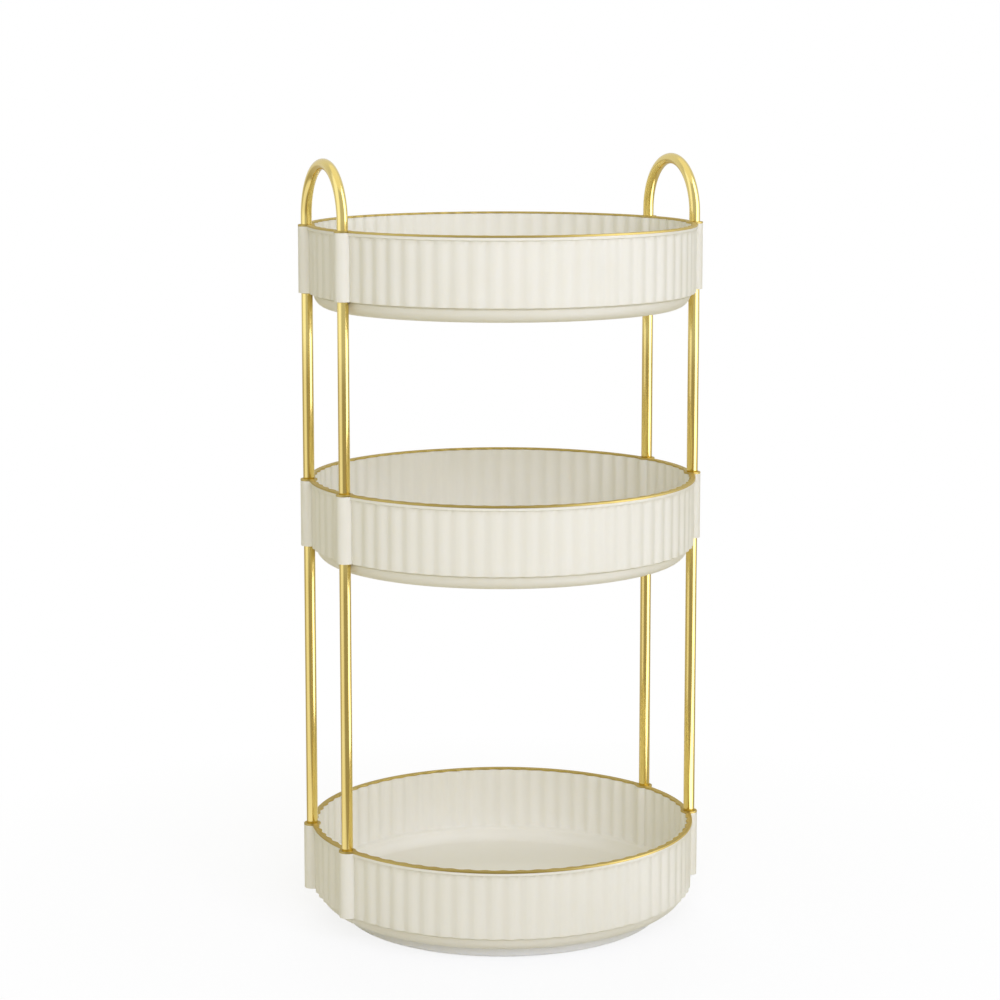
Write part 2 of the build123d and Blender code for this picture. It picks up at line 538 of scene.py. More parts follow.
@dataclass(frozen=True)
class Moulding:
    """Moulded plastic or rubber with a fine tool grain and edges that have been rubbed.

    Attributes:
        name: the material's name.
        colour: the plain colour.
        cast: the colour that the slow mottling drifts to.
        edge: the colour of rubbed edges.
        gloss: roughness of the plain surface, and how far it wanders.
        grain: size and depth of the tool grain, in millimetres.
        flow: size and depth of the slow unevenness of thick walls, in millimetres.
        sheen: specular level.
        depth: how far light travels under the skin, in millimetres.
        mottle: size of the mottling's blotches, in millimetres.
        patch: size of the patches in which edges are rubbed.
        cloud: size of the patches in which the roughness wanders.
        rub: how much of the edge's colour rubbing brings out, and how much smoother it makes it.
    """

    name: str
    colour: Colour
    cast: Colour
    edge: Colour
    gloss: Pair = (0.5, 0.05)
    grain: Pair = (0.45, 0.004)
    flow: Pair = (24.0, 0.018)
    sheen: float = 0.36
    depth: float = 0.0
    mottle: float = 38.0
    patch: float = 2.2
    cloud: float = 9.0
    rub: Pair = (0.5, 0.08)

    def material(self) -> bpy.types.Material:
        """Builds the material.

        Returns:
            The material.
        """
        tree = Tree(bpy.data.materials.new(self.name))
        mottle = tree.noise(self.mottle, 3.0).between(0.3, 0.7)
        rub = tree.worn() * tree.noise(self.patch, 3.0).between(0.42, 0.72)
        grain = tree.noise(self.grain[0], 2.0)
        flow = tree.noise(self.flow[0], 1.0, (1.0, 1.0, 0.35))
        wander = (tree.noise(self.cloud, 4.0) - 0.5) * (2 * self.gloss[1])
        plain = tree.blend(mottle, self.colour, self.cast)
        fine = tree.relief(grain, self.grain[1])
        skin = {
            "Base Color": tree.blend(rub * self.rub[0], plain, self.edge),
            "Roughness": self.gloss[0] + wander - rub * self.rub[1],
            "Specular IOR Level": self.sheen,
            "Normal": tree.relief(flow, self.flow[1], fine),
        }
        if self.depth:
            skin["Subsurface Weight"] = 1.0
            skin["Subsurface Radius"] = (1.0, 0.97, 0.9)
            skin["Subsurface Scale"] = self.depth * MM
        return tree.end(tree.node("ShaderNodeBsdfPrincipled", None, skin))


@dataclass(frozen=True)
class Plating:
    """Plated or polished metal, with the faint lines of its drawing and a slow change of tint.

    Attributes:
        name: the material's name.
        colour: the plain colour.
        cast: the colour that thin plating drifts to.
        gloss: roughness of the plain surface, and how far it wanders.
        lines: size of the drawing lines and how far they are drawn out along the piece.
        depth: depth of the lines in millimetres.
        drift: size of the blotches of the other tint, in millimetres.
        patch: size of the patches in which edges are rubbed.
        dulled: how much rougher rubbing makes an edge.
    """

    name: str
    colour: Colour
    cast: Colour
    gloss: Pair
    lines: tuple[float, Colour] = (0.6, (1.0, 1.0, 0.25))
    depth: float = 0.0006
    drift: float = 22.0
    patch: float = 3.0
    dulled: float = 0.05

    def material(self) -> bpy.types.Material:
        """Builds the material.

        Returns:
            The material.
        """
        tree = Tree(bpy.data.materials.new(self.name))
        drift = tree.noise(self.drift, 3.0).between(0.3, 0.7)
        lines = tree.noise(self.lines[0], 3.0, self.lines[1])
        rub = tree.worn() * tree.noise(self.patch, 3.0).between(0.4, 0.7)
        plain, wander = self.gloss
        roughness = plain + (lines - 0.5) * (2 * wander) + (drift - 0.5) * wander
        skin = {
            "Base Color": tree.blend(drift, self.colour, self.cast),
            "Metallic": 1.0,
            "Roughness": roughness + rub * self.dulled,
            "Normal": tree.relief(lines, self.depth),
        }
        return tree.end(tree.node("ShaderNodeBsdfPrincipled", None, skin))


PLANS = {
    Slot.TRAY: Moulding(
        "cream_moulding", (0.825, 0.8, 0.705), (0.81, 0.785, 0.685), (0.85, 0.83, 0.765), depth=0.45
    ),
    Slot.BASE: Moulding(
        "pale_base_moulding",
        (0.94, 0.925, 0.885),
        (0.925, 0.91, 0.865),
        (0.95, 0.94, 0.92),
        gloss=(0.38, 0.05),
        depth=0.45,
    ),
    Slot.GLIDE: Moulding(
        "slippery_white",
        (0.8, 0.8, 0.78),
        (0.77, 0.77, 0.74),
        (0.84, 0.84, 0.83),
        gloss=(0.3, 0.05),
    ),
    Slot.RUBBER: Moulding(
        "grey_rubber",
        (0.16, 0.16, 0.155),
        (0.135, 0.135, 0.13),
        (0.22, 0.22, 0.21),
        gloss=(0.72, 0.06),
        grain=(0.3, 0.02),
        sheen=0.35,
    ),
    Slot.GOLD: Plating(
        "plated_gold", (0.88, 0.695, 0.23), (0.86, 0.665, 0.205), (0.15, 0.012), depth=0.0002
    ),
    Slot.TRIM: Plating(
        "satin_gold",
        (0.58, 0.445, 0.135),
        (0.54, 0.405, 0.115),
        (0.54, 0.05),
        lines=(0.3, (1.0, 1.0, 1.0)),
    ),
    Slot.STEEL: Plating("zinc_plated_steel", (0.62, 0.63, 0.64), (0.54, 0.56, 0.55), (0.34, 0.06)),
}
"""What each of the record's slots is finished in."""


@dataclass
class Finishes:
    """The organizer's finishes, each made once, by the record's slot, and the dressing in them."""

    made: dict[Slot, bpy.types.Material] = field(default_factory=dict)

    def build(self) -> None:
        """Makes every material."""
        self.made = {slot: plan.material() for slot, plan in PLANS.items()}

    def dress_node(self, node: str, slot: Slot) -> None:
        """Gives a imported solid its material, through its object's slots.

        Args:
            node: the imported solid.
            slot: the material slot that it takes its finish from.
        """
        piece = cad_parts[node]
        if not piece.material_slots:
            piece.data.materials.append(None)
        for place in piece.material_slots:
            place.link = "OBJECT"
            place.material = self.made[slot]
        log.info("%s keeps its solid, in %s", node, slot.value)

    def seat(
        self,
        node: str,
        form: str,
        shell: Shell,
        slot: Slot,
        body: Body = Body.TOWER,
        tools: Sequence[Shell] = (),
        sharp: float = SHARP,
    ) -> None:
        """Makes a piece, cuts it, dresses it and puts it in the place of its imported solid.

        Args:
            node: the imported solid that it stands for.
            form: the word that its name adds to the solid's.
            shell: its surface before it is cut.
            slot: the material slot that it takes its finish from.
            body: the body that it moves with.
            tools: the shapes that are cut out of it, in order.
            sharp: the angle in degrees past which an edge stays sharp.
        """
        piece = as_object(f"{node}_{form}", shell, sharp)
        for tool in tools:
            cut(piece, tool)
        piece.data.materials.clear()
        piece.data.materials.append(self.made[slot])
        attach(piece, body.value)
        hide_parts(node)
        faces = len(piece.data.polygons)
        log.info("%s: %d faces, in %s, on %s", piece.name, faces, slot.value, body.value)


# ------------------------------------------------------------------ sizes shared by the pieces


@dataclass(frozen=True)
class Layout:
    """Heights and places of the tower, in millimetres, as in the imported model."""

    rims: tuple[float, float, float] = (55.4, 261.1, 408.5)
    rim_radius: float = 113.0
    pole_y: float = 31.0
    boss_radius: float = 4.85
    boss_height: float = 38.3
    pocket_depth: float = 3.25
    pocket_half: float = 3.55
    rod_radius: float = 2.0
    rod_hole: float = 2.1
    rod_grip: float = 5.0

    @property
    def pole_x(self) -> float:
        """Distance of the poles from the middle, along X."""
        return math.sqrt(self.rim_radius**2 - self.pole_y**2)

    def place(self, corner: Corner) -> Pair:
        """A pole's place in the plan."""
        return (corner.value[0] * self.pole_x, corner.value[1] * self.pole_y)

    def bearing(self, corner: Corner) -> float:
        """A pole's direction from the middle, in radians."""
        x, y = self.place(corner)
        return math.atan2(y, x)


TIERS = ("bottom", "middle", "top")


# ------------------------------------------------------------------ trays and trims


@dataclass
class FlutedRim:
    """The plan of a tray's wall: flutes all round and four socket bosses, as radius against angle.

    Attributes:
        layout: the tower's sizes.
        flutes: how many flutes go round.
        crest: radius at a flute's crest.
        depth: depth of the flutes outside.
        inside: smallest radius of the inner wall.
        inner_depth: depth of the flutes inside.
        narrow: how much narrower a groove is than a crest, from 1.
        blend: how softly a boss grows out of the wall.
        flute_columns: columns of points on each flute.
        boss_columns: columns of points round the outside of a boss.
        skirt: degrees past a boss's edge at which there are columns too.
        clear: degrees past a boss's edge up to which there are no others.
    """

    layout: Layout
    flutes: int = 72
    crest: float = 112.4
    depth: float = 0.88
    inside: float = 109.4
    inner_depth: float = 1.0
    narrow: float = 1.3
    blend: float = 0.22
    flute_columns: int = 12
    boss_columns: int = 31
    skirt: tuple[float, ...] = (0.02, 0.1, 0.25, 0.45)
    clear: float = 0.7

    def off(self, angles: Array, corner: Corner) -> Array:
        """Angles from a boss's bearing, from minus half a turn to half a turn."""
        return np.angle(np.exp(1j * (angles - self.layout.bearing(corner))))

    def angles(self) -> Array:
        """Angles of the columns: even on the flutes, and closer round each boss.

        On a boss the columns stand at even turns p of its own circle, which are at the angle
        atan2(r sin p, R + r cos p) off its bearing, with R the rim's radius and r the boss's.

        Returns:
            The angles in rising order, in radians.
        """
        count = self.flutes * self.flute_columns
        even = np.arange(count) * (2 * math.pi / count)
        r, big = self.layout.boss_radius, self.layout.rim_radius
        turn = np.radians(np.linspace(-90, 90, self.boss_columns))
        edge = math.asin(r / big)
        skirt = edge + np.radians(self.skirt)
        across = np.arctan2(r * np.sin(turn), big + r * np.cos(turn))
        near = np.concatenate([across, skirt, -skirt, [edge, -edge]])
        kept = np.ones(count, bool)
        for corner in Corner:
            kept &= np.abs(self.off(even, corner)) > edge + math.radians(self.clear)
        bosses = [self.layout.bearing(corner) + near for corner in Corner]
        every = np.mod(np.concatenate([even[kept], *bosses]), 2 * math.pi)
        return np.unique(np.round(every, 7))

    def wave(self, angles: Array) -> Array:
        """0 in a flute's groove and 1 on its crest: with c the cosine of the angle times the count,
        1 less a power of half of (1 - c), which makes the crests broad and the grooves narrow."""
        return 1 - (0.5 - 0.5 * np.cos(self.flutes * angles)) ** self.narrow

    def boss(self, angles: Array, side: int) -> Array:
        """Radius of one side of the boss circles, and far off where there is none.

        Along a ray at the angle d from a boss's bearing the circle is met at R cos d, plus or minus
        the root of r squared less the square of R sin d.

        Args:
            angles: the angles, in radians.
            side: 1 for the far side, and -1 for the near one.

        Returns:
            The radius at each angle.
        """
        r, big = self.layout.boss_radius, self.layout.rim_radius
        result = np.full(angles.shape, -1e3 * side)
        for corner in Corner:
            off = self.off(angles, corner)
            left = r**2 - (big * np.sin(off)) ** 2
            met = big * np.cos(off) + side * np.sqrt(np.clip(left, 0, None))
            result = np.where((left >= -1e-6) & (np.abs(off) < 0.1), met, result)
        return result

    def outer_wall(self, angles: Array) -> Array:
        """Radius of the fluted outside with its bosses."""
        flute = self.crest - self.depth * (1 - self.wave(angles))
        return soft_max(flute, self.boss(angles, 1), self.blend)

    def inner_wall(self, angles: Array) -> Array:
        """Radius of the fluted inside with its bosses."""
        flute = self.inside + self.inner_depth * self.wave(angles)
        return soft_min(flute, self.boss(angles, -1), self.blend)

    def ledge(self, angles: Array) -> Array:
        """Radius of the smooth ledge with its bosses."""
        plain = np.full(angles.shape, self.layout.rim_radius)
        return soft_max(plain, self.boss(angles, 1), self.blend)


@dataclass
class Tray:
    """One tray: smooth ledge, fluted wall inside and out, rounded dish, four bosses with pockets.

    Attributes:
        tier: which of the three it is.
        rim: height of its rim.
        plan: the plan of its wall.
        edge: rounding of the rim's edges.
        ledge_foot: how far the ledge goes down from the rim.
        ledge_blend: height of the curve from the ledge to the flutes.
        foot_edge: rounding of the wall's lower edge.
        dish_radius: largest radius of the dish below the wall.
        dish_depth: its depth, which is its rounding too.
        floor_thickness: thickness of its floor.
        shoulder: height of the curve from the dish to the wall, inside.
        shadow_gap: depth of the groove between the wall and the dish, from the dish's radius.
        gap_height: height of that groove.
        inner_rows: heights of rows of points on the inside, from the rim.
        outer_rows: heights of rows of points on the outside.
    """

    tier: str
    rim: float
    plan: FlutedRim
    edge: float = 0.3
    ledge_foot: float = 1.5
    ledge_blend: float = 0.45
    foot_edge: float = 0.22
    dish_radius: float = 109.3
    dish_depth: float = 8.7
    floor_thickness: float = 2.2
    shoulder: float = 2.2
    shadow_gap: float = 0.7
    gap_height: float = 1.35
    inner_rows: tuple[float, ...] = (-27.0, -16.0, -6.0)
    outer_rows: tuple[float, ...] = (-5.0, -12.0, -20.0, -28.0, -35.0)

    def surface(self) -> Shell:
        """The tray's skin, from the middle of its floor over the rim to that of its underside.

        Each row is a ring whose radius is a function of the angle, and every run between two rows
        is either a quarter circle, (1 - cos t, sin t) scaled, or an S-curve between two radii.

        Returns:
            The shell, before its bosses are bored.
        """
        plan = self.plan
        angles = plan.angles()
        inner, outer, ledge = plan.inner_wall(angles), plan.outer_wall(angles), plan.ledge(angles)
        foot = -plan.layout.boss_height
        round_inside = self.dish_depth - self.floor_thickness
        corner = self.dish_radius - self.dish_depth
        low_wall = corner + round_inside
        radii, heights, wears = [], [], []

        def add(radius: Any, height: Any, wear: float = 0.0) -> None:
            """Adds a row at each height, with one wear value."""
            heights.append(np.reshape(height, (-1, 1)))
            radii.append(np.broadcast_to(radius, (len(heights[-1]), len(angles))))
            wears.append(np.full(len(heights[-1]), wear))

        turn = arc(0, 90, 9)
        add(corner + round_inside * np.sin(turn), foot - round_inside * np.cos(turn))
        share = np.linspace(0, 1, 7)[1:, None]
        add(low_wall + (inner - low_wall) * smooth(share), foot + self.shoulder * share)
        add(inner, [*self.inner_rows, -self.edge])
        turn = arc(30, 90, 3)
        add(inner + self.edge * (1 - np.cos(turn)), self.edge * (np.sin(turn) - 1), wear=1.0)
        turn = arc(0, 90, 4)
        add(ledge + self.edge * (np.sin(turn) - 1), self.edge * (np.cos(turn) - 1), wear=1.0)
        add(ledge, [-0.8, -self.ledge_foot], wear=0.5)
        share = np.linspace(0, 1, 9)[1:, None]
        height = -self.ledge_foot - self.ledge_blend * share
        add(ledge + (outer - ledge) * smooth(share), height, wear=0.15)
        add(outer, [*self.outer_rows, foot + self.foot_edge])
        turn = arc(22.5, 90, 4)
        height = foot + self.foot_edge * (1 - np.sin(turn))
        add(outer - self.foot_edge * (1 - np.cos(turn)), height, wear=1.0)
        add(self.dish_radius - self.shadow_gap, [foot, foot - self.gap_height * 0.45])
        turn = np.linspace(math.asin(self.gap_height / self.dish_depth), math.pi / 2, 13)[:, None]
        add(corner + self.dish_depth * np.cos(turn), foot - self.dish_depth * np.sin(turn))

        levels = np.concatenate(heights) + self.rim
        poles = [(0, 0, levels[0, 0]), (0, 0, levels[-1, 0])]
        rows = ringed(np.concatenate(radii), levels, angles)
        return lattice(rows, poles, np.concatenate(wears))

    def hexagons(self) -> Shell:
        """The cutter of the bosses' hexagonal pockets, one flat of each towards the tray's middle.

        Returns:
            Four prisms.
        """
        layout = self.plan.layout
        low = self.rim - layout.boss_height
        high = low + layout.pocket_depth
        pockets = []
        for corner in Corner:
            radius, angle = nut_outline(layout.pocket_half, layout.bearing(corner), 6)
            pockets.append(prism(radius, angle, low - OVER, high, layout.place(corner)))
        return sum_shells(pockets)

    def rod_holes(self) -> Shell:
        """The cutter of the bosses' holes for the tie rods.

        Returns:
            Four cylinders.
        """
        layout = self.plan.layout
        span = (self.rim - layout.boss_height - OVER, self.rim + OVER)
        places = [layout.place(corner) for corner in Corner]
        return sum_shells([pin(layout.rod_hole, *span, 32, place) for place in places])

    def build(self, finishes: Finishes) -> None:
        """Makes the tray and puts it in its solid's place."""
        tools = (self.hexagons(), self.rod_holes())
        finishes.seat(f"{self.tier}_tray", "moulding", self.surface(), Slot.TRAY, tools=tools)


@dataclass
class Trim:
    """The gold ring on a tray's rim: two fine beads with a shallow channel between, and four ears.

    Attributes:
        tier: which of the three it is.
        rim: height of its underside.
        plan: the plan of the tray's wall.
        thickness: height of the beads.
        edge: rounding of both edges.
        bead: width of a bead.
        slope: width of the slope from a bead to the channel.
        channel: depth of the channel.
        lap: how far the ring stands in from the wall.
        tube_hole: radius of the holes for the tubes.
    """

    tier: str
    rim: float
    plan: FlutedRim
    thickness: float = 1.1
    edge: float = 0.3
    bead: float = 0.55
    slope: float = 0.45
    channel: float = 0.22
    lap: float = 0.1
    tube_hole: float = 3.3

    def surface(self) -> Shell:
        """The ring's skin: at each angle a section of rounded corners between two radii.

        Half of the section is a quarter circle, a flat bead and an S-curve down to the channel,
        and the other half is the same from the outer edge inwards.

        Returns:
            The shell, before its holes are cut.
        """
        angles = self.plan.angles()
        inner, outer = self.plan.inner_wall(angles) - self.lap, self.plan.ledge(angles)
        top = self.thickness
        turn, share = arc(0, 90, 5), np.linspace(0, 1, 4)[1:, None]
        start, flat = np.zeros((1, 1)), np.ones((1, 1))
        rounding, slope = self.edge * (1 - np.cos(turn)), self.bead + share * self.slope
        across = np.concatenate([start, rounding, self.bead * 0.9 * flat, slope])
        rounding, slope = top - self.edge * (1 - np.sin(turn)), top - self.channel * smooth(share)
        up = np.concatenate([start, rounding, top * flat, slope])
        radius = np.concatenate([inner + across, outer - across[::-1]])
        height = np.concatenate([up, up[::-1]]) + self.rim
        wear = np.where(height[:, 0] > self.rim + top - self.channel * 0.5, 1.0, 0.2)
        return lattice(ringed(radius, height, angles), wear=wear)

    def build(self, finishes: Finishes) -> None:
        """Makes the ring with its tube holes and puts it in its solid's place.

        Args:
            finishes: the materials.
        """
        span = (self.rim - OVER, self.rim + self.thickness + OVER)
        places = [self.plan.layout.place(corner) for corner in Corner]
        tools = [sum_shells([pin(self.tube_hole, *span, 64, place) for place in places])]
        finishes.seat(f"{self.tier}_rim_trim", "ring", self.surface(), Slot.TRIM, tools=tools)


# ------------------------------------------------------------------ tubes, handles, tie rods


@dataclass
class Tubes:
    """The eight gold tubes between the trays."""

    layout: Layout
    radius: float = 3.25
    bore: float = 2.35
    edge: float = 0.2

    def surface(self, corner: Corner, low: float, high: float) -> Shell:
        """A hollow tube with broken edges, turned about its pole.

        Args:
            corner: the pole.
            low: height of the tube's lower end.
            high: height of its upper end.

        Returns:
            The shell.
        """
        corners = [(self.radius, low), (self.radius, high), (self.bore, high), (self.bore, low)]
        section = [(*place, self.edge) for place in corners]
        return turned(section, 72, self.layout.place(corner), steps=2)

    def build(self, finishes: Finishes) -> None:
        """Makes the tubes and puts them in their solids' places.

        Args:
            finishes: the materials.
        """
        spans = {"lower": self.layout.rims[:2], "upper": self.layout.rims[1:]}
        for span, (below, above) in spans.items():
            high = above - self.layout.boss_height + self.layout.pocket_depth
            for corner in Corner:
                node = f"{span}_tube_{corner.name.lower()}"
                finishes.seat(node, "drawn", self.surface(corner, below, high), Slot.GOLD)


@dataclass
class Handles:
    """The two rods bent into a U over the pairs of tubes."""

    layout: Layout
    radius: float = 3.15
    straight: float = 5.6
    bore: float = 2.05
    edge: float = 0.25

    def surface(self, x: float) -> Shell:
        """A circle swept up one leg, round a half circle and down the other leg.

        On the bend the centre is at (x, -h cos a, z + h sin a) for a from 0 to a half turn, with h
        half the spacing of the poles, and the circle lies in the plane of X and the bend's radius.
        Both ends are bored for the tie rods.

        Args:
            x: the handle's place from left to right.

        Returns:
            The shell.
        """
        top, half = self.layout.rims[2], self.layout.pole_y
        bend = np.linspace(0, math.pi, 73)
        lips = [self.bore, self.bore, self.radius - self.edge, self.radius, self.radius]
        rises = top + np.array([self.layout.rod_grip, 0, 0, self.edge, self.straight * 0.6])
        radius = np.concatenate([lips, np.full(len(bend), self.radius), lips[::-1]])
        height = np.concatenate([rises, top + self.straight + half * np.sin(bend), rises[::-1]])
        angle = np.pad(bend, len(lips), "edge")
        level = np.zeros(len(angle))
        centre = np.stack([level + x, -half * np.cos(angle), height], axis=1)
        outward = np.stack([level, -np.cos(angle), np.sin(angle)], axis=1)[:, None]
        turn, sideways = circle(48)[None, :, None], np.array([1.0, 0.0, 0.0])
        ring = np.cos(turn) * sideways + np.sin(turn) * outward
        return lattice(centre[:, None] + radius[:, None, None] * ring, (centre[0], centre[-1]))

    def build(self, finishes: Finishes) -> None:
        """Makes both handles and puts them in their solids' places."""
        for side, x in (("left", -self.layout.pole_x), ("right", self.layout.pole_x)):
            finishes.seat(f"{side}_handle", "bent_rod", self.surface(x), Slot.GOLD)


@dataclass
class TieRods:
    """The four rods inside the tubes, threaded at both ends, and their nuts.

    Attributes:
        layout: the tower's sizes.
        thread_pitch: from one groove of the thread to the next.
        thread_depth: depth of the thread.
        thread_length: length of the thread at each end.
        thread_start: from the rod's end to the first groove.
        nut_half: half the distance across a nut's flats.
        nut_height: height of a nut.
        nut_bore: radius of a nut's hole.
        nut_lip: width and height of the bevel of that hole.
        nut_face: how far a nut's flat underside reaches, as a part of nut_half.
        nut_cone: the angle in degrees at which its lower corners are cut.
        sharp: the angle in degrees past which an edge stays sharp.
    """

    layout: Layout
    thread_pitch: float = 0.7
    thread_depth: float = 0.3
    thread_length: float = 4.9
    thread_start: float = 0.15
    nut_half: float = 3.5
    nut_height: float = 3.2
    nut_bore: float = 2.05
    nut_lip: float = 0.25
    nut_face: float = 0.97
    nut_cone: float = 30.0
    sharp: float = 25.0

    @property
    def low(self) -> float:
        """Height of the rods' lower ends and of the nuts' undersides."""
        return self.layout.rims[0] - self.layout.boss_height

    def rod(self, corner: Corner) -> Shell:
        """A rod whose radius drops by the thread's depth at every other row near its ends, which
        makes a triangle wave of height.

        Args:
            corner: the pole that it stands in.

        Returns:
            The shell.
        """
        low, high = self.low, self.layout.rims[2] + self.layout.rod_grip
        step = np.arange(int(self.thread_length / self.thread_pitch) * 2 + 1)
        along = step * self.thread_pitch / 2 + self.thread_start
        groove = self.thread_depth * (step % 2 == 0)
        height = np.concatenate([low + along, high - along[::-1]])[:, None]
        radius = self.layout.rod_radius - np.concatenate([groove, groove[::-1]])[:, None]
        at = self.layout.place(corner)
        return lattice(ringed(radius, height, circle(28), at), [(*at, low), (*at, high)])

    def nut(self, corner: Corner) -> Shell:
        """A nut: a bored hexagon whose lower corners are cut by a cone.

        Args:
            corner: the pole that it stands under.

        Returns:
            The shell.
        """
        hexagon, angle = nut_outline(self.nut_half, self.layout.bearing(corner), 48)
        face = np.minimum(hexagon, self.nut_half * self.nut_face)
        chamfer = (hexagon - face) * math.tan(math.radians(self.nut_cone))
        level = np.zeros(len(angle))
        bore, lip, top = level + self.nut_bore, level + self.nut_lip, level + self.nut_height
        radius = np.stack([bore, bore + self.nut_lip, face, hexagon, hexagon, bore])
        height = self.low + np.stack([lip, level, level, chamfer, top, top])
        rows = ringed(radius, height, angle, self.layout.place(corner))
        return lattice(rows, wear=[0, 0, 1, 1, 0, 0])

    def build(self, finishes: Finishes) -> None:
        """Makes the rods and the nuts and puts them in their solids' places.

        Args:
            finishes: the materials.
        """
        for corner in Corner:
            node = f"tie_rod_{corner.name.lower()}"
            finishes.seat(node, "threaded", self.rod(corner), Slot.STEEL, sharp=self.sharp)
        nuts = sum_shells([self.nut(corner) for corner in Corner])
        finishes.seat("tie_rod_nuts", "hexagon", nuts, Slot.STEEL, sharp=self.sharp)


# ------------------------------------------------------------------ base and turntable


@dataclass
class Turntable:
    """The base with its feet, and the pivot that the tower turns on."""

    base_radius: float = 94.4
    wall_inner: float = 92.2
    low: float = 1.0
    top: float = 7.5
    floor_top: float = 2.8
    step_radius: float = 71.45
    step_top: float = 3.6
    hub_hole: float = 9.06
    recess_radius: float = 13.5
    recess_top: float = 2.3
    pad_radius: float = 7.0
    pad_circle: float = 82.0
    washer_radius: float = 13.0
    washer_low: float = 1.4
    washer_top: float = 2.2
    screw_bore: float = 1.55
    head_radius: float = 4.0
    head_low: float = 0.6
    screw_radius: float = 1.5
    screw_tip: float = 6.8

    def base_plate(self) -> Shell:
        """The pan, turned from its section.

        Returns:
            The shell.
        """
        section = [
            (self.hub_hole, self.step_top, 0.2),
            (self.step_radius, self.step_top, 0.2),
            (self.step_radius, self.floor_top, 0),
            (self.wall_inner, self.floor_top, 0.4),
            (self.wall_inner, self.top, 0.4),
            (self.base_radius, self.top, 0.8),
            (self.base_radius, self.low, 1.6),
            (self.recess_radius, self.low, 0.2),
            (self.recess_radius, self.recess_top, 0),
            (self.hub_hole, self.recess_top, 0.2),
        ]
        return turned(section, 288, steps=6)

    def foot_pads(self) -> Shell:
        """Four flat pads with rounded edges, each turned about its own middle.

        Returns:
            The four shells as one.
        """
        size, low = self.pad_radius, self.low
        section = [(0, 0, 0), (size, 0, 0.35), (size, low, 0.15), (0, low, 0)]
        turns = [math.radians(90 * (index + 0.5)) for index in range(4)]
        far = self.pad_circle
        places = [(far * math.cos(turn), far * math.sin(turn)) for turn in turns]
        return sum_shells([turned(section, 48, place) for place in places])

    def washer(self) -> Shell:
        """The washer, turned from its section.

        Returns:
            The shell.
        """
        section = [
            (self.screw_bore, self.washer_low, 0.1),
            (self.screw_bore, self.washer_top, 0.1),
            (self.washer_radius, self.washer_top, 0.15),
            (self.washer_radius, self.washer_low, 0.15),
        ]
        return turned(section, 96, steps=3)

    def screw(self) -> Shell:
        """The screw: a low rounded head with a plain shank and a blunt tip.

        Returns:
            The shell.
        """
        section = [
            (0, self.head_low, 0),
            (self.head_radius, self.head_low, 0.5),
            (self.head_radius, self.washer_low, 0.05),
            (self.screw_radius, self.washer_low, 0),
            (self.screw_radius, self.screw_tip, 0.3),
            (0, self.screw_tip, 0),
        ]
        return turned(section, 64)

    def cross_recess(self) -> Shell:
        """The cutter of the screw's driver recess: a plus sign of twelve corners, of which each
        quarter has two at an arm's end and one where two arms meet.

        Returns:
            The shell.
        """
        quarters = 90 * np.arange(4)[:, None] + np.array([-18, 18, 45])
        radius = np.array([2.1, 2.1, 0.75] * 4)
        low, high = self.head_low - 0.5, self.head_low + 0.55
        return prism(radius, np.radians(quarters.ravel()), low, high, (0.0, 0.0))

    def build(self, finishes: Finishes) -> None:
        """Makes the pieces and puts them in their solids' places.

        Args:
            finishes: the materials.
        """
        finishes.seat("base_plate", "pan", self.base_plate(), Slot.BASE, Body.BASE)
        finishes.seat("foot_pads", "rubber", self.foot_pads(), Slot.RUBBER, Body.BASE)
        finishes.seat("pivot_washer", "pressed", self.washer(), Slot.STEEL)
        tools = [self.cross_recess()]
        finishes.seat("pivot_screw", "driven", self.screw(), Slot.STEEL, tools=tools)
        finishes.dress_node("glide_ring", Slot.GLIDE)
        finishes.dress_node("turntable_plate", Slot.BASE)


# ------------------------------------------------------------------ studio

IMAGE = 1000
"""Width of the square image in pixels."""
SENSOR = 36.0
"""Width of the camera's sensor in millimetres."""


@dataclass(frozen=True)
class Softbox:
    """A square lamp aimed at the middle of the object.

    Attributes:
        name: the lamp's name.
        azimuth: its direction from the camera's, in degrees to the right.
        elevation: its height above the horizon, in degrees.
        distance: how far it stands, in metres.
        size: width and height in metres.
        power: watts.
        colour: the light's colour.
    """

    name: str
    azimuth: float
    elevation: float
    distance: float
    size: Pair
    power: float
    colour: Colour


@dataclass(frozen=True)
class Panel:
    """A brighter stretch of the tent that only reflections show.

    Attributes:
        azimuth: the direction of its middle from the camera's, in degrees to the right.
        half_width: half its width as seen from the object, in degrees.
        edge: how wide its soft edges are, in degrees.
        strength: how much it adds to the tent, where 1 is white.
        colour: its tint.
    """

    azimuth: float
    half_width: float
    edge: float
    strength: float
    colour: Colour = WHITE


